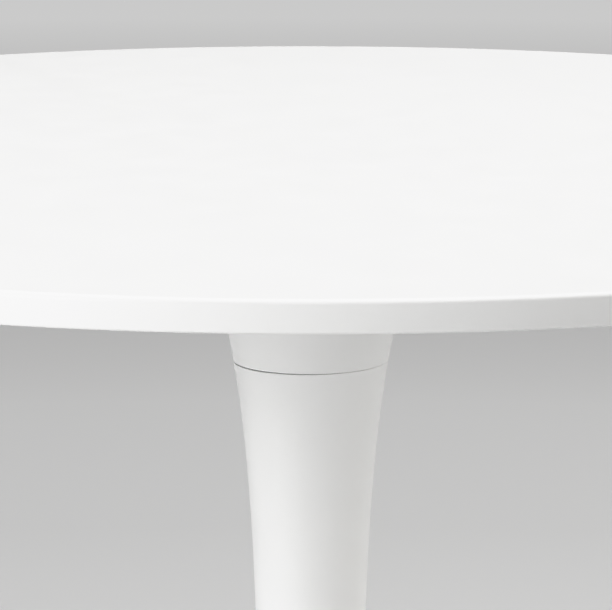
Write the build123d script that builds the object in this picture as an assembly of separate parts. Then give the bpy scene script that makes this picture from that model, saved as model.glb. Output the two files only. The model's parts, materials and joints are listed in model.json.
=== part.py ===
from build123d import *

import os
from math import exp, hypot

# Round pedestal table. A lacquered board is screwed to a steel mounting plate. Under the plate a
# flared collar, a slim column and a spun foot cover stand on a ballast plate, and one tie rod clamps
# them together. Four levelling glides carry the table. Millimetres, +Z up, origin on the floor under
# the board's centre. Threads are plain cylinders at the nominal diameter.

# --- Board ------------------------------------------------------------------------------
TABLE_HEIGHT = 750
BOARD_DIAMETER = 1050
BOARD_THICKNESS = 18
BOARD_UPPER_ROUNDING = 3
BOARD_LOWER_ROUNDING = 2

# --- Pedestal outline: a slim waist, flared upwards to the board and downwards to the floor 
WAIST_RADIUS = 30.7
CROWN_FLARE = 54.4
CROWN_FLARE_LENGTH = 107.3
ANKLE_FLARE = 32.0
ANKLE_FLARE_LENGTH = 105.0
FOOT_FLARE = 215.0
FOOT_FLARE_LENGTH = 30.0
FOOT_FLARE_HEIGHT = 16.0

# --- Pedestal pieces --------------------------------------------------------------------
TOP_PLATE_THICKNESS = 5
TOP_PLATE_DIAMETER = 380
COLLAR_SEAM_DEPTH = 135.2
COLLAR_WALL = 4
COLLAR_FLANGE = 8
COLLAR_FLANGE_OPENING = 56
COLLAR_FLOOR = 6.4
FOOT_SEAM_HEIGHT = 160
SEAM_GAP = 0.8
SEAM_EDGE_ROUNDING = 0.4
SHEET = 2
RING_HEIGHT = 12
SPIGOT_RADIUS = 30
SPIGOT_WALL = 6
SPIGOT_LENGTH = 8
LOWER_SPIGOT_RADIUS = 22
NECK_CLEARANCE = 0.4
WELD_GAP = 0.1
SEAM_WASHER_SETBACK = 1.5

# --- Foot -------------------------------------------------------------------------------
RIM_HEIGHT = 14.5
RIM_ROUNDING = 5
RIM_CLEARANCE = 5
BASE_PLATE_RADIUS = 228
BASE_PLATE_UNDERSIDE = 12
BASE_PLATE_THICKNESS = 8
EDGING_THICKNESS = 1.2
EDGING_LEG = 7
POST_RADIUS = 30
POST_WALL = 3
POST_HEIGHT = 119
POST_CAP_RADIUS = 38
POST_CAP_PLUG = 6

# --- Fasteners --------------------------------------------------------------------------
THREAD_CLEARANCE = 0.05
TIE_ROD_RADIUS = 6
TIE_ROD_HOLE = 6.5
TIE_ROD_SPANNER_SIZE = 19
TIE_ROD_NUT_HEIGHT = 10
TIE_ROD_WASHER_THICKNESS = 3
TIE_ROD_TOP = 724
ANCHOR_NUT_SPANNER_SIZE = 24
ANCHOR_NUT_HEIGHT = 18
HUB_RADIUS = 28
HUB_POCKET = 19
HUB_HEIGHT = 30
HUB_FLOOR = 9
M6_RADIUS = 3
M6_CLEARANCE_HOLE = 3.3
M6_SOCKET_SIZE = 4
M6_SOCKET_DEPTH = 2
COLLAR_SCREWS = 4
COLLAR_SCREW_CIRCLE = 70
COLLAR_SCREW_LENGTH = 14
COUNTERSINK_RADIUS = 6
BOARD_SCREWS = 6
BOARD_SCREW_CIRCLE = 160
BOARD_SCREW_LENGTH = 16
BOARD_SCREW_HEAD_RADIUS = 5.5
BOARD_SCREW_HEAD_HEIGHT = 3.6
BOARD_WASHER_RADIUS = 9
BOARD_WASHER_THICKNESS = 1.5
INSERT_RADIUS = 5
INSERT_LENGTH = 11
INSERT_HOLE_DEPTH = 12.5

# --- Levelling glides -------------------------------------------------------------------
GLIDES = 4
GLIDE_CIRCLE = 205
GLIDE_START_ANGLE = 45
STUD_RADIUS = 4
STUD_TOP = 24
STUD_SPANNER_SIZE = 13
STUD_HEX_BOTTOM = 6.9
STUD_HEX_TOP = 11.7
STUD_BUTTON_RADIUS = 5.5
STUD_BUTTON_BOTTOM = 2.0
STUD_BUTTON_TOP = 4.0
STUD_NECK_RADIUS = 3.2
PAD_RADIUS = 16
PAD_SHOULDER_RADIUS = 13
PAD_HEIGHT = 6.5
PAD_EDGE = 1
PAD_FIT = 0.08

# --- Levels that follow from the above --------------------------------------------------
BOARD_UNDERSIDE = TABLE_HEIGHT - BOARD_THICKNESS
TOP_PLATE_UNDERSIDE = BOARD_UNDERSIDE - TOP_PLATE_THICKNESS
COLLAR_BOTTOM = TABLE_HEIGHT - COLLAR_SEAM_DEPTH + SEAM_GAP / 2
COLUMN_TOP = COLLAR_BOTTOM - SEAM_GAP
COLUMN_BOTTOM = FOOT_SEAM_HEIGHT + SEAM_GAP / 2
BELL_TOP = COLUMN_BOTTOM - SEAM_GAP
BASE_PLATE_TOP = BASE_PLATE_UNDERSIDE + BASE_PLATE_THICKNESS
POST_TOP = BASE_PLATE_TOP + POST_HEIGHT
HUB_BOTTOM = TOP_PLATE_UNDERSIDE - HUB_HEIGHT
HUB_SEAT = HUB_BOTTOM + HUB_FLOOR


def pedestal_radius(height):
    """Outer radius of the pedestal at a height above the floor."""
    crown = CROWN_FLARE * exp((height - BOARD_UNDERSIDE) / CROWN_FLARE_LENGTH)
    ankle = ANKLE_FLARE * exp((FOOT_FLARE_HEIGHT - height) / ANKLE_FLARE_LENGTH)
    foot = FOOT_FLARE * exp((FOOT_FLARE_HEIGHT - height) / FOOT_FLARE_LENGTH)
    return WAIST_RADIUS + crown + ankle + foot


def pedestal_slope(height):
    """Change of the outer radius per millimetre of height."""
    step = 0.001
    return (pedestal_radius(height + step) - pedestal_radius(height - step)) / (2 * step)


def outline_point(height, wall=0):
    """Point of the pedestal's outline at a height, moved inwards by a wall thickness along the normal."""
    slope = pedestal_slope(height)
    normal_length = hypot(1, slope)
    radius = pedestal_radius(height) - wall / normal_length
    return (radius, 0, height + wall * slope / normal_length)


def straight(points):
    """Straight edges through (radius, height) points."""
    return Polyline([(radius, 0, height) for radius, height in points])


def turned(*edges):
    """Solid of revolution about the table's axis, from edges that close an outline."""
    return revolve(make_face(Curve() + list(edges)), Axis.Z, 360)


def turned_profile(points):
    """Solid of revolution from the corners of a closed (radius, height) outline."""
    return turned(straight(points + [points[0]]))


def ring(outer, inner, bottom, top):
    """Plain ring between two heights."""
    return turned_profile([(inner, bottom), (outer, bottom), (outer, top), (inner, top)])


def rod(radius, bottom, top, chamfered=0):
    """Plain round bar between two heights, with its ends chamfered."""
    bar = Pos(0, 0, (bottom + top) / 2) * Cylinder(radius, top - bottom)
    if chamfered:
        bar = chamfer(bar.edges().filter_by(GeomType.CIRCLE), chamfered)
    return bar


def hexagon(across_flats, bottom, top):
    """Hexagonal prism between two heights."""
    outline = RegularPolygon(across_flats / 2, 6, major_radius=False)
    return Pos(0, 0, bottom) * extrude(outline, top - bottom)


def soften_seam_edge(piece, height):
    """Round the outermost circular edge of a turned piece at a height."""
    circles = piece.edges().filter_by(GeomType.CIRCLE)
    at_height = circles.filter_by_position(Axis.Z, height - 0.01, height + 0.01)
    return fillet(at_height.sort_by(SortBy.RADIUS)[-1], SEAM_EDGE_ROUNDING)


def around(shape, count, radius, start_angle=0):
    """Copies of a shape, spaced evenly on a circle about the table's axis."""
    return [Rot(0, 0, start_angle + 360 * k / count) * Pos(radius, 0, 0) * shape for k in range(count)]


def table_top():
    """Round board with softened edges and blind holes for the threaded inserts."""
    board = Pos(0, 0, TABLE_HEIGHT - BOARD_THICKNESS / 2) * Cylinder(BOARD_DIAMETER / 2, BOARD_THICKNESS)
    rims = board.edges().filter_by(GeomType.CIRCLE).sort_by(Axis.Z)
    board = fillet(rims[-1], BOARD_UPPER_ROUNDING)
    rims = board.edges().filter_by(GeomType.CIRCLE).sort_by(Axis.Z)
    board = fillet(rims[0], BOARD_LOWER_ROUNDING)
    hole = rod(INSERT_RADIUS, BOARD_UNDERSIDE - 1, BOARD_UNDERSIDE + INSERT_HOLE_DEPTH)
    return board - around(hole, BOARD_SCREWS, BOARD_SCREW_CIRCLE)


def threaded_inserts():
    """Steel inserts pressed into the board from below."""
    top = BOARD_UNDERSIDE + INSERT_LENGTH
    insert = ring(INSERT_RADIUS, M6_RADIUS + THREAD_CLEARANCE, BOARD_UNDERSIDE, top)
    return Compound(around(insert, BOARD_SCREWS, BOARD_SCREW_CIRCLE))


def board_screws():
    """Pan-head machine screws from below, through the plate and into the inserts."""
    head_top = TOP_PLATE_UNDERSIDE - BOARD_WASHER_THICKNESS
    head_bottom = head_top - BOARD_SCREW_HEAD_HEIGHT
    head = rod(BOARD_SCREW_HEAD_RADIUS, head_bottom, head_top)
    lower_rim = head.edges().filter_by(GeomType.CIRCLE).sort_by(Axis.Z)[0]
    head = fillet(lower_rim, BOARD_SCREW_HEAD_HEIGHT / 2)
    socket = hexagon(M6_SOCKET_SIZE, head_bottom - 1, head_bottom + M6_SOCKET_DEPTH)
    screw = head - socket + rod(M6_RADIUS, head_top, head_top + BOARD_SCREW_LENGTH)
    return Compound(around(screw, BOARD_SCREWS, BOARD_SCREW_CIRCLE))


def board_screw_washers():
    """Wide washers between the screw heads and the plate."""
    bottom = TOP_PLATE_UNDERSIDE - BOARD_WASHER_THICKNESS
    washer = ring(BOARD_WASHER_RADIUS, M6_CLEARANCE_HOLE, bottom, TOP_PLATE_UNDERSIDE)
    return Compound(around(washer, BOARD_SCREWS, BOARD_SCREW_CIRCLE))


def countersunk_cone(radius_at_top, radius_at_bottom):
    """Cone of a 90-degree countersink whose wide end is flush with the plate's upper face."""
    depth = radius_at_top - radius_at_bottom
    return turned_profile([(0, BOARD_UNDERSIDE), (radius_at_top, BOARD_UNDERSIDE),
                           (radius_at_bottom, BOARD_UNDERSIDE - depth), (0, BOARD_UNDERSIDE - depth)])


def top_plate():
    """Steel disc that carries the board, with holes for its screws, the collar's screws and the hub."""
    plate = rod(TOP_PLATE_DIAMETER / 2, TOP_PLATE_UNDERSIDE, BOARD_UNDERSIDE, 1)
    plate -= rod(HUB_POCKET, TOP_PLATE_UNDERSIDE - 1, BOARD_UNDERSIDE + 1)
    hole = rod(M6_CLEARANCE_HOLE, TOP_PLATE_UNDERSIDE - 1, BOARD_UNDERSIDE + 1)
    plate -= around(hole, BOARD_SCREWS, BOARD_SCREW_CIRCLE)
    sunk_hole = hole + countersunk_cone(COUNTERSINK_RADIUS + THREAD_CLEARANCE, M6_CLEARANCE_HOLE)
    return plate - around(sunk_hole, COLLAR_SCREWS, COLLAR_SCREW_CIRCLE, 45)


def top_plate_hub():
    """Cup welded under the plate: the tie rod's nut tightens on its floor."""
    return turned_profile([(TIE_ROD_HOLE, HUB_BOTTOM), (HUB_RADIUS, HUB_BOTTOM),
                           (HUB_RADIUS, TOP_PLATE_UNDERSIDE), (HUB_POCKET, TOP_PLATE_UNDERSIDE),
                           (HUB_POCKET, HUB_SEAT), (TIE_ROD_HOLE, HUB_SEAT)])


def collar():
    """Cast collar: a flared shell with a screw flange above, and a floor with a centring spigot below."""
    flange_bottom = TOP_PLATE_UNDERSIDE - COLLAR_FLANGE
    floor_top = COLLAR_BOTTOM + COLLAR_FLOOR
    steps = 8
    outside = []
    inside = []
    for k in range(steps + 1):
        height = COLLAR_BOTTOM + (TOP_PLATE_UNDERSIDE - COLLAR_BOTTOM) * k / steps
        outside.append((pedestal_radius(height), 0, height))
        height = floor_top + (flange_bottom - floor_top) * k / steps
        inside.append((pedestal_radius(height) - COLLAR_WALL, 0, height))
    spigot_bore = SPIGOT_RADIUS - SPIGOT_WALL
    flange = straight([(pedestal_radius(TOP_PLATE_UNDERSIDE), TOP_PLATE_UNDERSIDE),
                       (COLLAR_FLANGE_OPENING, TOP_PLATE_UNDERSIDE),
                       (COLLAR_FLANGE_OPENING, flange_bottom),
                       (inside[-1][0], flange_bottom)])
    floor = straight([(inside[0][0], floor_top),
                      (spigot_bore, floor_top),
                      (spigot_bore, COLLAR_BOTTOM - SPIGOT_LENGTH),
                      (SPIGOT_RADIUS, COLLAR_BOTTOM - SPIGOT_LENGTH),
                      (SPIGOT_RADIUS, COLLAR_BOTTOM),
                      (outside[0][0], COLLAR_BOTTOM)])
    casting = turned(Spline(outside), flange, Spline(inside[::-1]), floor)
    casting = soften_seam_edge(casting, COLLAR_BOTTOM)
    tapped_hole = rod(M6_RADIUS + THREAD_CLEARANCE, flange_bottom - 1, TOP_PLATE_UNDERSIDE + 1)
    return casting - around(tapped_hole, COLLAR_SCREWS, COLLAR_SCREW_CIRCLE, 45)


def collar_screws():
    """Countersunk screws from the plate's upper face into the collar's flange."""
    head = countersunk_cone(COUNTERSINK_RADIUS, M6_RADIUS)
    neck = BOARD_UNDERSIDE - (COUNTERSINK_RADIUS - M6_RADIUS)
    screw = head + rod(M6_RADIUS, BOARD_UNDERSIDE - COLLAR_SCREW_LENGTH, neck)
    socket = hexagon(M6_SOCKET_SIZE, BOARD_UNDERSIDE - M6_SOCKET_DEPTH, BOARD_UNDERSIDE + 1)
    return Compound(around(screw - socket, COLLAR_SCREWS, COLLAR_SCREW_CIRCLE, 45))


def column():
    """Tapering steel shell between the two seams, open at both ends."""
    steps = 12
    outside = []
    inside = []
    for k in range(steps + 1):
        height = COLUMN_BOTTOM + (COLUMN_TOP - COLUMN_BOTTOM) * k / steps
        outside.append((pedestal_radius(height), 0, height))
        inside.append((pedestal_radius(height) - SHEET, 0, height))
    upper_end = Line(outside[-1], inside[-1])
    lower_end = Line(inside[0], outside[0])
    shell = turned(Spline(outside), upper_end, Spline(inside[::-1]), lower_end)
    return soften_seam_edge(soften_seam_edge(shell, COLUMN_TOP), COLUMN_BOTTOM)


def column_end_radius(height):
    """Radius that a ring welded inside the column's shell may fill at a height."""
    return pedestal_radius(height) - SHEET - WELD_GAP


def column_upper_ring():
    """Ring in the column's upper end, bored for the collar's spigot."""
    bottom = COLUMN_TOP - RING_HEIGHT
    bore = SPIGOT_RADIUS + THREAD_CLEARANCE
    return turned_profile([(bore, bottom), (column_end_radius(bottom), bottom),
                           (column_end_radius(COLUMN_TOP), COLUMN_TOP), (bore, COLUMN_TOP)])


def column_lower_ring():
    """Ring in the column's lower end, with the spigot that centres it in the foot."""
    top = COLUMN_BOTTOM + RING_HEIGHT
    spigot_bottom = COLUMN_BOTTOM - SPIGOT_LENGTH
    return turned_profile([(TIE_ROD_HOLE, spigot_bottom), (LOWER_SPIGOT_RADIUS, spigot_bottom),
                           (LOWER_SPIGOT_RADIUS, COLUMN_BOTTOM),
                           (column_end_radius(COLUMN_BOTTOM), COLUMN_BOTTOM),
                           (column_end_radius(top), top), (TIE_ROD_HOLE, top)])


def seam_washer(bottom, top, bore):
    """Thin dark washer that keeps the painted edges at a seam apart."""
    return ring(pedestal_radius(bottom) - SEAM_WASHER_SETBACK, bore, bottom, top)


def tie_rod():
    """Long threaded bar from the base plate up to the hub under the board."""
    return rod(TIE_ROD_RADIUS, BASE_PLATE_UNDERSIDE, TIE_ROD_TOP, 1)


def tie_rod_washer():
    """Thick washer on the hub's floor."""
    return ring(HUB_POCKET - 1.5, TIE_ROD_HOLE, HUB_SEAT, HUB_SEAT + TIE_ROD_WASHER_THICKNESS)


def tie_rod_nut():
    """Nut at the rod's upper end, tightened before the board goes on."""
    bottom = HUB_SEAT + TIE_ROD_WASHER_THICKNESS
    top = bottom + TIE_ROD_NUT_HEIGHT
    bore = rod(TIE_ROD_RADIUS + THREAD_CLEARANCE, bottom - 1, top + 1)
    return hexagon(TIE_ROD_SPANNER_SIZE, bottom, top) - bore


def base_anchor_nut():
    """Nut welded on the base plate, where the tie rod screws in."""
    top = BASE_PLATE_TOP + ANCHOR_NUT_HEIGHT
    bore = rod(TIE_ROD_RADIUS + THREAD_CLEARANCE, BASE_PLATE_TOP - 1, top + 1)
    return hexagon(ANCHOR_NUT_SPANNER_SIZE, BASE_PLATE_TOP, top) - bore


def base_post():
    """Tube on the base plate that carries the column's load."""
    return ring(POST_RADIUS, POST_RADIUS - POST_WALL, BASE_PLATE_TOP, POST_TOP)


def base_post_cap():
    """Turned cap on the post: the foot cover's neck is clamped on it, and the column's spigot enters it."""
    top = outline_point(BELL_TOP - SHEET, SHEET)[2]
    plug_radius = POST_RADIUS - POST_WALL - WELD_GAP
    plug_bottom = POST_TOP - POST_CAP_PLUG
    pocket = LOWER_SPIGOT_RADIUS + THREAD_CLEARANCE
    pocket_floor = COLUMN_BOTTOM - SPIGOT_LENGTH - 1
    return turned_profile([(TIE_ROD_HOLE, plug_bottom), (plug_radius, plug_bottom),
                           (plug_radius, POST_TOP), (POST_CAP_RADIUS, POST_TOP), (POST_CAP_RADIUS, top),
                           (pocket, top), (pocket, pocket_floor), (TIE_ROD_HOLE, pocket_floor)])


def base_bell():
    """Spun steel foot cover: it sweeps from the column's seam out to a rounded rim just above the floor."""
    steps = 14
    outside = []
    inside = []
    for k in range(steps + 1):
        share = (k / steps) ** 2
        outside.append(outline_point(RIM_HEIGHT + (BELL_TOP - RIM_HEIGHT) * share))
        inside.append(outline_point(RIM_HEIGHT + (BELL_TOP - SHEET - RIM_HEIGHT) * share, SHEET))
    slope = pedestal_slope(RIM_HEIGHT)
    normal = Vector(1, 0, -slope).normalized()
    outwards = Vector(1, 0, 0)
    halfway = (normal + outwards).normalized()
    centre = Vector(*outside[0]) - normal * RIM_ROUNDING
    bend = RIM_ROUNDING - SHEET
    outer_arc = ThreePointArc(centre + outwards * RIM_ROUNDING, centre + halfway * RIM_ROUNDING, outside[0])
    inner_arc = ThreePointArc(inside[0], centre + halfway * bend, centre + outwards * bend)
    rim = straight([(centre.X + bend, centre.Z), (centre.X + bend, RIM_CLEARANCE),
                    (centre.X + RIM_ROUNDING, RIM_CLEARANCE), (centre.X + RIM_ROUNDING, centre.Z)])
    bore = LOWER_SPIGOT_RADIUS + NECK_CLEARANCE
    neck = straight([(outside[-1][0], BELL_TOP), (bore, BELL_TOP), (bore, inside[-1][2]),
                     (inside[-1][0], inside[-1][2])])
    bell = turned(outer_arc, Spline(outside), neck, Spline(inside[::-1]), inner_arc, rim)
    return soften_seam_edge(bell, BELL_TOP)


def base_plate():
    """Round ballast plate with the threaded holes for the glides."""
    plate = rod(BASE_PLATE_RADIUS, BASE_PLATE_UNDERSIDE, BASE_PLATE_TOP, 1)
    plate -= rod(TIE_ROD_RADIUS + THREAD_CLEARANCE, BASE_PLATE_UNDERSIDE - 1, BASE_PLATE_TOP + 1)
    hole = rod(STUD_RADIUS + THREAD_CLEARANCE, BASE_PLATE_UNDERSIDE - 1, BASE_PLATE_TOP + 1)
    return plate - around(hole, GLIDES, GLIDE_CIRCLE, GLIDE_START_ANGLE)


def plate_edging():
    """Rubber channel round the plate's edge, which the foot cover rests on."""
    low = BASE_PLATE_UNDERSIDE
    high = BASE_PLATE_TOP
    lip = EDGING_THICKNESS
    tip = BASE_PLATE_RADIUS - EDGING_LEG
    return turned_profile([(tip, low - lip), (BASE_PLATE_RADIUS + lip, low - lip),
                           (BASE_PLATE_RADIUS + lip, high + lip), (tip, high + lip), (tip, high),
                           (BASE_PLATE_RADIUS, high), (BASE_PLATE_RADIUS, low), (tip, low)])


def glide_pad():
    """Nylon foot, snapped over the stud's button so that the stud can turn in it."""
    fit = PAD_FIT
    pad = turned_profile([(0, 0), (PAD_RADIUS - PAD_EDGE, 0), (PAD_RADIUS, PAD_EDGE),
                          (PAD_RADIUS, 2.5 * PAD_EDGE), (PAD_SHOULDER_RADIUS, PAD_HEIGHT), (0, PAD_HEIGHT)])
    button_pocket = rod(STUD_BUTTON_RADIUS + fit, STUD_BUTTON_BOTTOM - fit, STUD_BUTTON_TOP + fit)
    neck_hole = rod(STUD_NECK_RADIUS + fit, STUD_BUTTON_TOP - fit, PAD_HEIGHT + 1)
    return pad - button_pocket - neck_hole


def glide_stud():
    """Threaded stud with a spanner hexagon, and a button end that is held in the pad."""
    spanner_flats = hexagon(STUD_SPANNER_SIZE, STUD_HEX_BOTTOM, STUD_HEX_TOP)
    button = rod(STUD_BUTTON_RADIUS, STUD_BUTTON_BOTTOM, STUD_BUTTON_TOP)
    neck = rod(STUD_NECK_RADIUS, STUD_BUTTON_TOP, STUD_HEX_BOTTOM)
    thread = turned_profile([(0, STUD_HEX_TOP), (STUD_RADIUS, STUD_HEX_TOP), (STUD_RADIUS, STUD_TOP - 1),
                             (STUD_RADIUS - 1, STUD_TOP), (0, STUD_TOP)])
    return button + neck + spanner_flats + thread


def main():
    """Write every piece to its own file."""
    pieces = {
        "table_top": table_top(),
        "threaded_inserts": threaded_inserts(),
        "board_screws": board_screws(),
        "board_screw_washers": board_screw_washers(),
        "top_plate": top_plate(),
        "top_plate_hub": top_plate_hub(),
        "collar": collar(),
        "collar_screws": collar_screws(),
        "upper_seam_washer": seam_washer(COLUMN_TOP, COLLAR_BOTTOM, SPIGOT_RADIUS + THREAD_CLEARANCE),
        "column": column(),
        "column_upper_ring": column_upper_ring(),
        "column_lower_ring": column_lower_ring(),
        "lower_seam_washer": seam_washer(BELL_TOP, COLUMN_BOTTOM, LOWER_SPIGOT_RADIUS + THREAD_CLEARANCE),
        "tie_rod": tie_rod(),
        "tie_rod_washer": tie_rod_washer(),
        "tie_rod_nut": tie_rod_nut(),
        "base_anchor_nut": base_anchor_nut(),
        "base_post": base_post(),
        "base_post_cap": base_post_cap(),
        "base_bell": base_bell(),
        "base_plate": base_plate(),
        "plate_edging": plate_edging(),
    }
    for k in range(GLIDES):
        turn = Rot(0, 0, GLIDE_START_ANGLE + 360 * k / GLIDES) * Pos(GLIDE_CIRCLE, 0, 0)
        pieces[f"glide_pad_{k + 1}"] = turn * glide_pad()
        pieces[f"glide_stud_{k + 1}"] = turn * glide_stud()
    os.makedirs("parts", exist_ok=True)
    for name, piece in pieces.items():
        export_step(piece, f"parts/{name}.step")


main()
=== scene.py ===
import bpy
import bmesh
import json
from math import atan, atan2, cos, exp, hypot, pi, radians, sin, tan, tau
from mathutils import Matrix, Vector


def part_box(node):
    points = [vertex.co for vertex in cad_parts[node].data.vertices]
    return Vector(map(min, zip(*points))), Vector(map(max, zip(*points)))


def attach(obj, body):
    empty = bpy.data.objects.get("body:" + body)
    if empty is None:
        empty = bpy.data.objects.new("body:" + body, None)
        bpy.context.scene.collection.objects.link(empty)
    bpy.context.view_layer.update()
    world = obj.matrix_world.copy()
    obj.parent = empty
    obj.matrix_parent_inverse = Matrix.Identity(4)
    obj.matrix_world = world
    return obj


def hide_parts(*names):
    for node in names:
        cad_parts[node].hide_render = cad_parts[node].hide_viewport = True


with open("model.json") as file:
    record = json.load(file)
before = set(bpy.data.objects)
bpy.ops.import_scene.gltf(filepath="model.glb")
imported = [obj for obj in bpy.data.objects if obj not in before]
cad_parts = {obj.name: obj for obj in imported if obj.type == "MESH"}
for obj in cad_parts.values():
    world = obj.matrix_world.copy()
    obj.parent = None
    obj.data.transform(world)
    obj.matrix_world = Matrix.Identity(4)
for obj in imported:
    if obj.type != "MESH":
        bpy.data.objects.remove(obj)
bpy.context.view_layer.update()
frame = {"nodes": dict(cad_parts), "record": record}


# ---------------------------------------------------------------- sizes read from the frame, in metres

def outer_radius(node):
    """Radius of a node that is round about the table's axis."""
    low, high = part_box(node)
    return (high.x - low.x) / 2


def bottom_of(node):
    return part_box(node)[0].z


def top_of(node):
    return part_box(node)[1].z


BOARD_RADIUS = outer_radius("table_top")
BOARD_TOP = top_of("table_top")
BOARD_UNDERSIDE = bottom_of("table_top")
PLATE_UNDERSIDE = bottom_of("top_plate")
SPIGOT_BOTTOM = bottom_of("collar")
COLUMN_TOP = top_of("column")
COLUMN_BOTTOM = bottom_of("column")
COLLAR_BOTTOM = top_of("upper_seam_washer")
BELL_TOP = top_of("base_bell")
BELL_RIM_BOTTOM = bottom_of("base_bell")
BELL_RADIUS = outer_radius("base_bell")
BASE_PLATE_TOP = top_of("base_plate")
BASE_PLATE_UNDERSIDE = bottom_of("base_plate")
BASE_PLATE_RADIUS = outer_radius("base_plate")

# ---------------------------------------------------------------- sizes of the finish, in metres

MM = 0.001
WAIST = 30.7 * MM
CROWN_FLARE, CROWN_REACH = 54.4 * MM, 107.3 * MM
ANKLE_FLARE, ANKLE_REACH = 32.0 * MM, 105 * MM
FOOT_FLARE, FOOT_REACH = 215.0 * MM, 30 * MM
FLARE_BASE = 16 * MM
BOARD_UPPER_ROUNDING = 3.0 * MM
BOARD_LOWER_ROUNDING = 2.0 * MM
SEAM_ROUNDING = 0.4 * MM
COLLAR_LEAN = (0.125 * MM, 0.255 * MM)
COLUMN_LEAN = (-0.225 * MM, 0.625 * MM)
SHEET = 2 * MM
SEAM_WASHER_SETBACK = 1.5 * MM
COLLAR_WALL = 4 * MM
COLLAR_FLANGE = 8 * MM
COLLAR_OPENING = 56 * MM
COLLAR_FLOOR = 6.4 * MM
SPIGOT_RADIUS = 30 * MM
SPIGOT_BORE = 24 * MM
RIM_HEIGHT = 14.5 * MM
RIM_ROUNDING = 5 * MM
NECK_BORE = 22.4 * MM
EDGING_LIP = 1.2 * MM
EDGING_LEG = 7 * MM
PAD_EDGE = 1 * MM
PAD_BAND_TOP = 2.5 * PAD_EDGE
PAD_SHOULDER = 13 * MM
PAD_BUTTON_POCKET = 5.58 * MM
PAD_NECK_HOLE = 3.28 * MM
PAD_POCKET_FLOOR = 1.92 * MM
PAD_POCKET_TOP = 4.08 * MM
STUD_RADIUS = 4 * MM
STUD_CORE = 3.3 * MM
STUD_PITCH = 1.25 * MM
STUD_NECK = 3.2 * MM
STUD_BUTTON = 5.5 * MM
STUD_BUTTON_TOP = 4.0 * MM
STUD_HEX_BOTTOM = 6.9 * MM
STUD_HEX_TOP = 11.7 * MM
STUD_SPANNER_SIZE = 13 * MM
STUD_HEX_FACE = 0.47 * STUD_SPANNER_SIZE
STUD_HEX_CHAMFER = radians(30)
STUD_OVERLAP = 0.5 * MM
CREST_START, CREST_END = 0.44, 0.56
THREAD_STEPS = 32
TIP_PLAIN = 1 * MM
TIP_CHAMFER = 0.4 * MM


def pedestal_radius(height):
    """Outer radius of the pedestal at a height: a slim waist, flared to the board and to the floor."""
    crown = CROWN_FLARE * exp((height - BOARD_UNDERSIDE) / CROWN_REACH)
    ankle = ANKLE_FLARE * exp((FLARE_BASE - height) / ANKLE_REACH)
    foot = FOOT_FLARE * exp((FLARE_BASE - height) / FOOT_REACH)
    return WAIST + crown + ankle + foot


def pedestal_slope(height):
    """Change of that radius per metre of height."""
    step = 1e-6
    return (pedestal_radius(height + step) - pedestal_radius(height - step)) / (2 * step)


def pedestal_point(height, wall=0.0):
    """(radius, height) of the outline at a height, moved inwards by a wall thickness along the normal."""
    slope = pedestal_slope(height)
    length = hypot(1, slope)
    return (pedestal_radius(height) - wall / length, height + wall * slope / length)


def heights(low, high, steps, crowding=1.0):
    """Heights from low to high, crowded towards the low end where crowding is above 1."""
    return [low + (high - low) * (k / steps) ** crowding for k in range(steps + 1)]


# ---------------------------------------------------------------- mesh helpers

def turn(bm, outline, steps, centre=(0.0, 0.0)):
    """Spins an outline of (radius, height) points about a vertical axis; one clear of the axis is closed."""
    cx, cy = centre
    verts = [bm.verts.new((cx + radius, cy, height)) for radius, height in outline]
    edges = [bm.edges.new(pair) for pair in zip(verts, verts[1:])]
    if outline[0][0] > 0 or outline[-1][0] > 0:
        edges.append(bm.edges.new((verts[-1], verts[0])))
    bmesh.ops.spin(bm, geom=verts + edges, cent=(cx, cy, 0), axis=(0, 0, 1), angle=tau, steps=steps,
                   use_merge=True)
    bmesh.ops.remove_doubles(bm, verts=bm.verts, dist=1e-7)


def soften(bm, radius, height, amount, segments, centre=(0.0, 0.0)):
    """Rounds the ring of edges that lies at a radius and height."""
    def on_ring(vert):
        reach = hypot(vert.co.x - centre[0], vert.co.y - centre[1])
        return abs(reach - radius) < 5e-6 and abs(vert.co.z - height) < 5e-6
    ring = [edge for edge in bm.edges if all(on_ring(vert) for vert in edge.verts)]
    bmesh.ops.bevel(bm, geom=ring, offset=amount, offset_type="OFFSET", affect="EDGES", segments=segments,
                    profile=0.5, material=-1)


def lean(bm, height, within, drop, slant, radius):
    """Lowers the seam edge near a height, by more on the left of the table than on the right."""
    for vert in bm.verts:
        if abs(vert.co.z - height) < within:
            vert.co.z -= drop - slant * vert.co.x / radius


def finished(bm, name, material, sharp_from=40):
    """Mesh object at the origin, closed and facing outwards, smooth except across edges over an angle."""
    bmesh.ops.remove_doubles(bm, verts=bm.verts, dist=1e-7)
    bmesh.ops.recalc_face_normals(bm, faces=bm.faces)
    for face in bm.faces:
        face.smooth = True
    for edge in bm.edges:
        edge.smooth = not edge.is_manifold or edge.calc_face_angle(0) < radians(sharp_from)
    mesh = bpy.data.meshes.new(name)
    bm.to_mesh(mesh)
    bm.free()
    piece = bpy.data.objects.new(name, mesh)
    bpy.context.scene.collection.objects.link(piece)
    mesh.materials.append(material)
    return piece


def stands_for(piece, node, body="pedestal"):
    """The piece rides on its body in place of a CAD node."""
    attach(piece, body)
    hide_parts(node)


# ---------------------------------------------------------------- materials

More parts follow.
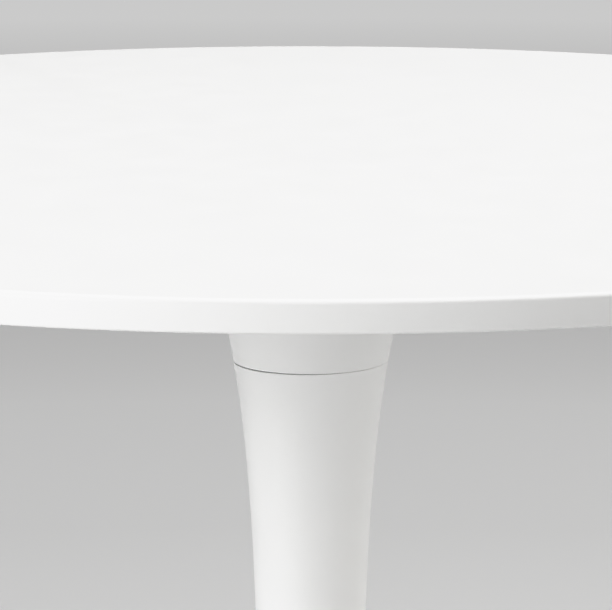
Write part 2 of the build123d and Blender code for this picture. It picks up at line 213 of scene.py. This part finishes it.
class Surface:
    """Principled material whose nodes read Object coordinates."""

    def __init__(self, name, colour, roughness, metallic=0.0, ior=1.5):
        self.material = bpy.data.materials.new(name)
        self.material.use_nodes = True
        self.nodes = self.material.node_tree.nodes
        self.links = self.material.node_tree.links
        self.shader = self.nodes["Principled BSDF"]
        self.shader.inputs["Base Color"].default_value = (*colour, 1)
        self.shader.inputs["Roughness"].default_value = roughness
        self.shader.inputs["Metallic"].default_value = metallic
        self.shader.inputs["IOR"].default_value = ior
        self.place = self.nodes.new("ShaderNodeTexCoord").outputs["Object"]

    def noise(self, per_metre, detail=2.0, stretch=None):
        """Noise with so many grains to the metre, stretched along the axes if asked."""
        node = self.nodes.new("ShaderNodeTexNoise")
        node.inputs["Scale"].default_value = per_metre
        node.inputs["Detail"].default_value = detail
        source = self.place
        if stretch:
            mapping = self.nodes.new("ShaderNodeMapping")
            mapping.inputs["Scale"].default_value = stretch
            self.links.new(self.place, mapping.inputs["Vector"])
            source = mapping.outputs["Vector"]
        self.links.new(source, node.inputs["Vector"])
        return node.outputs["Fac"]

    def ranged(self, value, low, high, start=0.3, end=0.7):
        """Value remapped from start..end to low..high."""
        node = self.nodes.new("ShaderNodeMapRange")
        node.inputs["From Min"].default_value = start
        node.inputs["From Max"].default_value = end
        node.inputs["To Min"].default_value = low
        node.inputs["To Max"].default_value = high
        self.links.new(value, node.inputs["Value"])
        return node.outputs["Result"]

    def shades(self, value, dark, light, start=0.3, end=0.7):
        """Base colour that runs between two shades."""
        node = self.nodes.new("ShaderNodeValToRGB")
        node.color_ramp.elements[0].position = start
        node.color_ramp.elements[0].color = (*dark, 1)
        node.color_ramp.elements[1].position = end
        node.color_ramp.elements[1].color = (*light, 1)
        self.links.new(value, node.inputs["Fac"])
        self.links.new(node.outputs["Color"], self.shader.inputs["Base Color"])

    def roughness(self, value, low, high):
        self.links.new(self.ranged(value, low, high), self.shader.inputs["Roughness"])

    def bump(self, value, depth, over=None):
        """Relief of a depth in metres, laid over another relief if given."""
        node = self.nodes.new("ShaderNodeBump")
        node.inputs["Strength"].default_value = 1.0
        node.inputs["Distance"].default_value = depth
        self.links.new(value, node.inputs["Height"])
        if over:
            self.links.new(over, node.inputs["Normal"])
        self.links.new(node.outputs["Normal"], self.shader.inputs["Normal"])
        return node.outputs["Normal"]


def board_lacquer():
    """White satin lacquer, sprayed on fibreboard: very faint orange peel over a slow waviness."""
    surface = Surface("board_lacquer", (0.86, 0.86, 0.855), 0.34)
    surface.shades(surface.noise(9, 3), (0.853, 0.853, 0.848), (0.866, 0.866, 0.861))
    surface.roughness(surface.noise(35, 3), 0.32, 0.37)
    waves = surface.bump(surface.noise(60, 1), 0.00004)
    surface.bump(surface.noise(420, 2), 0.000008, waves)
    surface.shader.inputs["Coat Weight"].default_value = 0.15
    surface.shader.inputs["Coat Roughness"].default_value = 0.18
    return surface.material


def pedestal_paint():
    """White powder coat: fine orange peel, satin."""
    surface = Surface("pedestal_paint", (0.84, 0.84, 0.835), 0.36)
    surface.shades(surface.noise(14, 3), (0.832, 0.832, 0.828), (0.846, 0.846, 0.841))
    surface.roughness(surface.noise(60, 3), 0.33, 0.40)
    waves = surface.bump(surface.noise(160, 1), 0.00003)
    surface.bump(surface.noise(900, 2), 0.000012, waves)
    return surface.material


def plate_paint():
    """Black textured powder coat on the ballast plate."""
    surface = Surface("plate_paint", (0.035, 0.035, 0.037), 0.55)
    surface.shades(surface.noise(700, 2), (0.028, 0.028, 0.030), (0.046, 0.046, 0.048))
    surface.roughness(surface.noise(300, 2), 0.48, 0.64)
    surface.bump(surface.noise(900, 3), 0.00008)
    return surface.material


def zinc_steel():
    """Bright zinc plating with a faint blue cast and cloudy patches."""
    surface = Surface("zinc_steel", (0.66, 0.67, 0.69), 0.28, metallic=1.0)
    surface.shades(surface.noise(260, 4), (0.60, 0.61, 0.64), (0.72, 0.72, 0.73))
    surface.roughness(surface.noise(180, 3), 0.22, 0.36)
    surface.bump(surface.noise(1500, 2), 0.000006)
    return surface.material


def bare_steel():
    """Turned steel: fine rings from the tool, under a film of oil."""
    surface = Surface("bare_steel", (0.46, 0.46, 0.47), 0.34, metallic=1.0)
    surface.shades(surface.noise(120, 4), (0.38, 0.38, 0.39), (0.52, 0.52, 0.53))
    surface.roughness(surface.noise(200, 2, (0.2, 0.2, 8)), 0.26, 0.42)
    surface.bump(surface.noise(200, 1, (0.2, 0.2, 12)), 0.00001)
    return surface.material


def dark_nylon():
    """Matt dark nylon washer; its dark colour also stands for the shade in the two seams, as painted shade.
    """
    surface = Surface("dark_nylon", (0.03, 0.03, 0.032), 0.6)
    surface.shades(surface.noise(500, 2), (0.026, 0.026, 0.028), (0.036, 0.036, 0.038))
    surface.roughness(surface.noise(400, 2), 0.55, 0.68)
    return surface.material


def pad_nylon():
    """Off-white moulded nylon."""
    surface = Surface("pad_nylon", (0.72, 0.72, 0.70), 0.5)
    surface.shades(surface.noise(90, 3), (0.69, 0.69, 0.67), (0.74, 0.74, 0.72))
    surface.roughness(surface.noise(700, 2), 0.42, 0.58)
    surface.bump(surface.noise(1600, 2), 0.00002)
    surface.shader.inputs["Subsurface Weight"].default_value = 0.08
    surface.shader.inputs["Subsurface Radius"].default_value = (0.002, 0.002, 0.0018)
    return surface.material


def edging_rubber():
    """Matt black rubber channel."""
    surface = Surface("edging_rubber", (0.022, 0.022, 0.022), 0.72)
    surface.shades(surface.noise(200, 3), (0.018, 0.018, 0.018), (0.030, 0.030, 0.030))
    surface.roughness(surface.noise(500, 2), 0.64, 0.82)
    surface.bump(surface.noise(800, 2), 0.00003)
    return surface.material


BOARD_LACQUER = board_lacquer()
PEDESTAL_PAINT = pedestal_paint()
PLATE_PAINT = plate_paint()
ZINC_STEEL = zinc_steel()
BARE_STEEL = bare_steel()
DARK_NYLON_AND_SEAM_SHADE = dark_nylon()
PAD_NYLON = pad_nylon()
EDGING_RUBBER = edging_rubber()

FINISH_OF_SLOT = {
    "board_lacquer": BOARD_LACQUER,
    "pedestal_paint": PEDESTAL_PAINT,
    "plate_paint": PLATE_PAINT,
    "zinc_steel": ZINC_STEEL,
    "bare_steel": BARE_STEEL,
    "dark_nylon": DARK_NYLON_AND_SEAM_SHADE,
    "pad_nylon": PAD_NYLON,
    "edging_rubber": EDGING_RUBBER,
}


def paint_cad_nodes():
    """Every CAD node gets the finish of the slot that the record names for it."""
    for subpart in frame["record"]["subparts"]:
        finish = FINISH_OF_SLOT[subpart["material_slot"]]
        for material_slot in frame["nodes"][subpart["node"]].material_slots:
            material_slot.material = finish


# ---------------------------------------------------------------- board

def board():
    """Round board with a softened upper and lower edge."""
    bm = bmesh.new()
    flat_radius = BOARD_RADIUS - 2 * BOARD_UPPER_ROUNDING
    turn(bm, [(0, BOARD_TOP), (flat_radius, BOARD_TOP), (BOARD_RADIUS, BOARD_TOP),
              (BOARD_RADIUS, BOARD_UNDERSIDE), (flat_radius, BOARD_UNDERSIDE), (0, BOARD_UNDERSIDE)], 384)
    soften(bm, BOARD_RADIUS, BOARD_TOP, BOARD_UPPER_ROUNDING, 8)
    soften(bm, BOARD_RADIUS, BOARD_UNDERSIDE, BOARD_LOWER_ROUNDING, 5)
    stands_for(finished(bm, "lacquered_board", BOARD_LACQUER), "table_top")


# ---------------------------------------------------------------- pedestal

def collar():
    """Flared collar between the board's plate and the seam."""
    flange_bottom = PLATE_UNDERSIDE - COLLAR_FLANGE
    floor_top = COLLAR_BOTTOM + COLLAR_FLOOR
    outside = [(pedestal_radius(z), z) for z in heights(COLLAR_BOTTOM, PLATE_UNDERSIDE, 24)]
    inside = [(pedestal_radius(z) - COLLAR_WALL, z) for z in heights(floor_top, flange_bottom, 10)]
    bm = bmesh.new()
    turn(bm, outside + [(COLLAR_OPENING, PLATE_UNDERSIDE), (COLLAR_OPENING, flange_bottom)] + inside[::-1]
         + [(SPIGOT_BORE, floor_top), (SPIGOT_BORE, SPIGOT_BOTTOM), (SPIGOT_RADIUS, SPIGOT_BOTTOM),
            (SPIGOT_RADIUS, COLLAR_BOTTOM)], 192)
    soften(bm, *outside[0], SEAM_ROUNDING, 4)
    lean(bm, COLLAR_BOTTOM, 1.2 * MM, *COLLAR_LEAN, outside[0][0])
    stands_for(finished(bm, "flared_collar", PEDESTAL_PAINT), "collar")


def column():
    """Slim tapering column shell between the two seams."""
    outside = [(pedestal_radius(z), z) for z in heights(COLUMN_BOTTOM, COLUMN_TOP, 64)]
    inside = [(radius - SHEET, z) for radius, z in outside[::4]]
    bm = bmesh.new()
    turn(bm, outside + inside[::-1], 192)
    soften(bm, *outside[0], SEAM_ROUNDING, 4)
    soften(bm, *outside[-1], SEAM_ROUNDING, 4)
    lean(bm, COLUMN_TOP, 1.2 * MM, *COLUMN_LEAN, outside[-1][0])
    stands_for(finished(bm, "column_shell", PEDESTAL_PAINT), "column")


def foot_cover():
    """Spun cover from the lower seam out to a rounded rim just above the floor."""
    outside = [pedestal_point(z) for z in heights(RIM_HEIGHT, BELL_TOP, 60, 2)]
    inside = [pedestal_point(z, SHEET) for z in heights(RIM_HEIGHT, BELL_TOP - SHEET, 30, 2)]
    slope_angle = atan(-1 / pedestal_slope(RIM_HEIGHT))
    rim_reach = BELL_RADIUS - outside[0][0]
    outer_corner = (BELL_RADIUS, RIM_HEIGHT - rim_reach * tan(slope_angle))
    inner_reach = BELL_RADIUS - SHEET - inside[0][0]
    inner_corner = (BELL_RADIUS - SHEET, inside[0][1] - inner_reach * tan(slope_angle))
    bm = bmesh.new()
    turn(bm, [outer_corner] + outside + [(NECK_BORE, BELL_TOP), (NECK_BORE, inside[-1][1])] + inside[::-1]
         + [inner_corner, (BELL_RADIUS - SHEET, BELL_RIM_BOTTOM), (BELL_RADIUS, BELL_RIM_BOTTOM)], 256)
    half_corner = (pi / 2 + slope_angle) / 2
    soften(bm, *outer_corner, RIM_ROUNDING / tan(half_corner), 8)
    soften(bm, *outside[-1], SEAM_ROUNDING, 4)
    stands_for(finished(bm, "foot_cover", PEDESTAL_PAINT), "base_bell")


def seam_washers():
    """Thin dark nylon spacers that show as a line in the two seams; their dark colour is also painted shade
    for the seams' shadow. The upper one follows its uneven gap.
    """
    for name, node, bore in (("upper_seam_spacer", "upper_seam_washer", SPIGOT_RADIUS + 0.05 * MM),
                             ("lower_seam_spacer", "lower_seam_washer", NECK_BORE)):
        bottom, top = bottom_of(node), top_of(node)
        rim = pedestal_radius(bottom) - SEAM_WASHER_SETBACK
        bm = bmesh.new()
        turn(bm, [(bore, bottom), (rim, bottom), (rim, top), (bore, top)], 192)
        if node == "upper_seam_washer":
            lean(bm, bottom, 0.1 * MM, *COLUMN_LEAN, pedestal_radius(bottom))
            lean(bm, top, 0.1 * MM, *COLLAR_LEAN, pedestal_radius(top))
        stands_for(finished(bm, name, DARK_NYLON_AND_SEAM_SHADE), node)


def rubber_edging():
    """Rubber channel with rounded outer corners round the ballast plate."""
    low, high = BASE_PLATE_UNDERSIDE, BASE_PLATE_TOP
    tip = BASE_PLATE_RADIUS - EDGING_LEG
    outer = BASE_PLATE_RADIUS + EDGING_LIP
    bm = bmesh.new()
    turn(bm, [(tip, low - EDGING_LIP), (outer, low - EDGING_LIP), (outer, high + EDGING_LIP),
              (tip, high + EDGING_LIP), (tip, high), (BASE_PLATE_RADIUS, high), (BASE_PLATE_RADIUS, low),
              (tip, low)], 256)
    for corner in ((outer, low - EDGING_LIP), (outer, high + EDGING_LIP)):
        soften(bm, *corner, 0.9 * MM, 4)
    for corner in ((tip, low - EDGING_LIP), (tip, high + EDGING_LIP)):
        soften(bm, *corner, 0.5 * MM, 3)
    stands_for(finished(bm, "rubber_edging", EDGING_RUBBER), "plate_edging")


# ---------------------------------------------------------------- levelling glides

def hexagon_reach(angle, across_flats):
    """Distance from a hexagon's centre to its outline in a direction."""
    return across_flats / 2 / cos((angle + pi / 6) % (pi / 3) - pi / 6)


def nylon_pad(node, name, centre):
    """Moulded foot with softened edges and the pocket that holds the stud's button."""
    radius = (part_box(node)[1].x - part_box(node)[0].x) / 2
    top = top_of(node)
    bm = bmesh.new()
    turn(bm, [(0, 0), (radius - PAD_EDGE, 0), (radius, PAD_EDGE), (radius, PAD_BAND_TOP), (PAD_SHOULDER, top),
              (PAD_NECK_HOLE, top), (PAD_NECK_HOLE, PAD_POCKET_TOP), (PAD_BUTTON_POCKET, PAD_POCKET_TOP),
              (PAD_BUTTON_POCKET, PAD_POCKET_FLOOR), (0, PAD_POCKET_FLOOR)], 96, centre)
    soften(bm, radius, PAD_BAND_TOP, 0.5 * MM, 3, centre)
    soften(bm, radius, PAD_EDGE, 0.3 * MM, 2, centre)
    soften(bm, PAD_SHOULDER, top, 0.8 * MM, 4, centre)
    stands_for(finished(bm, name, PAD_NYLON, 30), node, node)


def spanner_hexagon(bm, centre):
    """Hexagon with its corners turned off above and below."""
    corner = hexagon_reach(pi / 6, STUD_SPANNER_SIZE)
    first = len(bm.verts)
    turn(bm, [(0, STUD_HEX_BOTTOM), (STUD_HEX_FACE, STUD_HEX_BOTTOM), (corner, STUD_HEX_BOTTOM + 0.1 * MM),
              (corner, STUD_HEX_TOP - 0.1 * MM), (STUD_HEX_FACE, STUD_HEX_TOP), (0, STUD_HEX_TOP)],
         96, centre)
    bm.verts.ensure_lookup_table()
    middle = (STUD_HEX_BOTTOM + STUD_HEX_TOP) / 2
    for vert in bm.verts[first:]:
        x, y = vert.co.x - centre[0], vert.co.y - centre[1]
        if hypot(x, y) > corner - 0.01 * MM:
            reach = hexagon_reach(atan2(y, x), STUD_SPANNER_SIZE)
            drop = (reach - STUD_HEX_FACE) * tan(STUD_HEX_CHAMFER)
            level = STUD_HEX_TOP - drop if vert.co.z > middle else STUD_HEX_BOTTOM + drop
            vert.co = (centre[0] + x * reach / corner, centre[1] + y * reach / corner, level)


def thread(bm, centre, bottom, top):
    """Right-handed thread between two heights, its ends cut square and closed."""
    start = bottom - 2 * STUD_PITCH
    turns = int((top - start) / STUD_PITCH) + 2
    outline = [(STUD_CORE, 0.0), (STUD_RADIUS, CREST_START), (STUD_RADIUS, CREST_END), (STUD_CORE, 1.0)]
    cx, cy = centre
    screw = bmesh.new()
    verts = [screw.verts.new((cx + radius, cy, start + share * STUD_PITCH)) for radius, share in outline]
    edges = [screw.edges.new(pair) for pair in zip(verts, verts[1:])]
    bmesh.ops.spin(screw, geom=verts + edges, cent=(cx, cy, 0), axis=(0, 0, 1), angle=tau * turns,
                   dvec=(0, 0, STUD_PITCH / THREAD_STEPS), steps=THREAD_STEPS * turns)
    bmesh.ops.remove_doubles(screw, verts=screw.verts, dist=1e-6)
    for height, flags in ((bottom, {"clear_inner": True}), (top, {"clear_outer": True})):
        bmesh.ops.bisect_plane(screw, geom=screw.verts[:] + screw.edges[:] + screw.faces[:], dist=1e-7,
                               plane_co=(0, 0, height), plane_no=(0, 0, 1), **flags)
    bmesh.ops.holes_fill(screw, edges=[edge for edge in screw.edges if edge.is_boundary], sides=0)
    bmesh.ops.recalc_face_normals(screw, faces=screw.faces)
    part = bpy.data.meshes.new("thread")
    screw.to_mesh(part)
    screw.free()
    bm.from_mesh(part)
    bpy.data.meshes.remove(part)


def steel_stud(node, name, centre):
    """Stud with its button, neck, spanner hexagon and thread."""
    bottom, top = bottom_of(node), top_of(node)
    bm = bmesh.new()
    spanner_hexagon(bm, centre)
    neck_top = STUD_HEX_BOTTOM + STUD_OVERLAP
    turn(bm, [(0, bottom), (STUD_BUTTON, bottom), (STUD_BUTTON, STUD_BUTTON_TOP),
              (STUD_NECK, STUD_BUTTON_TOP), (STUD_NECK, neck_top), (0, neck_top)], 48, centre)
    thread(bm, centre, STUD_HEX_TOP - STUD_OVERLAP, top - TIP_PLAIN)
    tip = top - TIP_PLAIN - STUD_OVERLAP
    turn(bm, [(0, tip), (STUD_CORE, tip), (STUD_CORE, top - TIP_CHAMFER), (STUD_CORE - TIP_CHAMFER, top),
              (0, top)], 48, centre)
    stands_for(finished(bm, name, ZINC_STEEL, 28), node, node)


def glides():
    for number in range(1, 5):
        low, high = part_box(f"glide_pad_{number}")
        centre = ((low.x + high.x) / 2, (low.y + high.y) / 2)
        nylon_pad(f"glide_pad_{number}", f"nylon_pad_{number}", centre)
        steel_stud(f"glide_stud_{number}", f"steel_stud_{number}", centre)


paint_cad_nodes()
board()
collar()
column()
foot_cover()
seam_washers()
rubber_edging()
glides()


# ---------------------------------------------------------------- floor, light and camera

FLOOR_RADIUS = 60
# Painted light on the floor: colour darker near the table as painted shade, lighter far out, and emitted
# light farther out.
FLOOR_NEAR_PAINTED_SHADE, FLOOR_FAR_PAINTED_LIGHT = 0.43, 0.90
PAINTED_RAMP_FROM, PAINTED_RAMP_TO = 0.6, 2.8
PAINTED_GLOW = 0.51
PAINTED_GLOW_FROM, PAINTED_GLOW_TO = 2.1, 7.2
FILL = 0.065
BACKGROUND = 0.57


def floor():
    """Large floor with painted light: its colour is painted shade near the table and lighter away from it,
    and farther out it emits light of its own, where the softboxes no longer reach it.
    """
    bm = bmesh.new()
    bmesh.ops.create_circle(bm, cap_ends=True, radius=FLOOR_RADIUS, segments=96)
    mesh = bpy.data.meshes.new("studio_floor")
    bm.to_mesh(mesh)
    bm.free()
    plane = bpy.data.objects.new("studio_floor", mesh)
    bpy.context.scene.collection.objects.link(plane)
    surface = Surface("studio_floor", (0.5, 0.5, 0.5), 0.9)
    reach = surface.nodes.new("ShaderNodeVectorMath")
    reach.operation = "LENGTH"
    surface.links.new(surface.place, reach.inputs[0])
    distance = reach.outputs["Value"]
    # Painted shade and light: the floor's colour runs darker near the table and lighter farther out.
    painted_ramp = surface.ranged(distance, 0, 1, PAINTED_RAMP_FROM, PAINTED_RAMP_TO)
    surface.shades(painted_ramp, [FLOOR_NEAR_PAINTED_SHADE] * 3, [FLOOR_FAR_PAINTED_LIGHT] * 3, 0, 1)
    # Painted light: the floor emits light of its own, rising with distance from the table.
    surface.shader.inputs["Emission Color"].default_value = (1, 1, 1, 1)
    painted_glow = surface.ranged(distance, 0, PAINTED_GLOW, PAINTED_GLOW_FROM, PAINTED_GLOW_TO)
    surface.links.new(painted_glow, surface.shader.inputs["Emission Strength"])
    mesh.materials.append(surface.material)


AIM = Vector((0, -0.1, 0.6))


def softbox(name, bearing, elevation, distance, side, power, colour=(1, 1, 1)):
    """Square area light that faces the table; bearing in degrees from the front, negative to the left."""
    data = bpy.data.lights.new(name, "AREA")
    data.size = side
    data.energy = power
    data.color = colour
    lamp = bpy.data.objects.new(name, data)
    turned, raised = radians(bearing), radians(elevation)
    towards = distance * Vector((sin(turned) * cos(raised), -cos(turned) * cos(raised), sin(raised)))
    lamp.location = AIM + towards
    lamp.rotation_euler = (-towards).to_track_quat("-Z", "Y").to_euler()
    lamp.visible_camera = False
    bpy.context.scene.collection.objects.link(lamp)


SHOULDER_START = 0.8
SHOULDER_HEIGHT = 0.15
BRIGHTEST = 2.0


def film_response():
    """Highlights roll off softly above the start of the shoulder, as they do on film."""
    settings = bpy.context.scene.view_settings
    settings.view_transform = "Standard"
    settings.use_curve_mapping = True
    mapping = settings.curve_mapping
    mapping.white_level = (BRIGHTEST, BRIGHTEST, BRIGHTEST)
    curve = mapping.curves[3]
    curve.points[1].location = (1, SHOULDER_START + SHOULDER_HEIGHT)
    for light in (0.2, 0.4, 0.6, 0.7, 0.8, 0.9, 1.0, 1.1, 1.25, 1.5):
        beyond = max(0, light - SHOULDER_START) / SHOULDER_HEIGHT
        shown = min(light, SHOULDER_START) + SHOULDER_HEIGHT * (1 - exp(-beyond))
        curve.points.new(light / BRIGHTEST, shown)
    mapping.update()


def surroundings():
    """Soft warm-grey light from all round; only the camera sees it as bright as the far floor."""
    world = bpy.data.worlds.new("studio")
    bpy.context.scene.world = world
    world.use_nodes = True
    nodes = world.node_tree.nodes
    links = world.node_tree.links
    fill = nodes["Background"]
    fill.inputs["Color"].default_value = (1.01, 1.0, 0.98, 1)
    fill.inputs["Strength"].default_value = FILL
    seen = nodes.new("ShaderNodeBackground")
    seen.inputs["Color"].default_value = (BACKGROUND, BACKGROUND, BACKGROUND, 1)
    mix = nodes.new("ShaderNodeMixShader")
    links.new(nodes.new("ShaderNodeLightPath").outputs["Is Camera Ray"], mix.inputs["Fac"])
    links.new(fill.outputs["Background"], mix.inputs[1])
    links.new(seen.outputs["Background"], mix.inputs[2])
    links.new(mix.outputs["Shader"], nodes["World Output"].inputs["Surface"])


def studio():
    surroundings()
    softbox("left_front", -40, 18, 2.4, 1.0, 22)
    softbox("left", -60, 18, 2.4, 1.0, 23.5)
    softbox("left_low", -45, 8, 2.0, 0.8, 4.8)
    softbox("left_back", -150, 48, 3.0, 1.6, 20)
    softbox("right", 90, 18, 2.4, 1.0, 29, (1.0, 0.985, 0.955))
    softbox("right_high", 110, 48, 3.0, 1.6, 50)
    softbox("overhead", 0, 90, 2.4, 1.5, 38)
    film_response()


CAMERA_DISTANCE = 4.917 * BOARD_RADIUS
CAMERA_RISE = 0.7239 * BOARD_RADIUS
CAMERA_LENS = 244.76
CAMERA_PITCH = 10.54
CAMERA_YAW = -0.068
CAMERA_ROLL = 0.033


def camera():
    data = bpy.data.cameras.new("camera")
    data.lens = CAMERA_LENS
    data.sensor_width = 36
    data.sensor_fit = "HORIZONTAL"
    data.clip_end = 200
    eye = bpy.data.objects.new("camera", data)
    eye.location = (0, -CAMERA_DISTANCE, BOARD_TOP + CAMERA_RISE)
    aim = Matrix.Rotation(radians(-CAMERA_YAW), 4, "Z") @ Matrix.Rotation(radians(90 - CAMERA_PITCH), 4, "X")
    eye.rotation_euler = (aim @ Matrix.Rotation(radians(CAMERA_ROLL), 4, "Z")).to_euler()
    bpy.context.scene.collection.objects.link(eye)
    bpy.context.scene.camera = eye


floor()
studio()
camera()
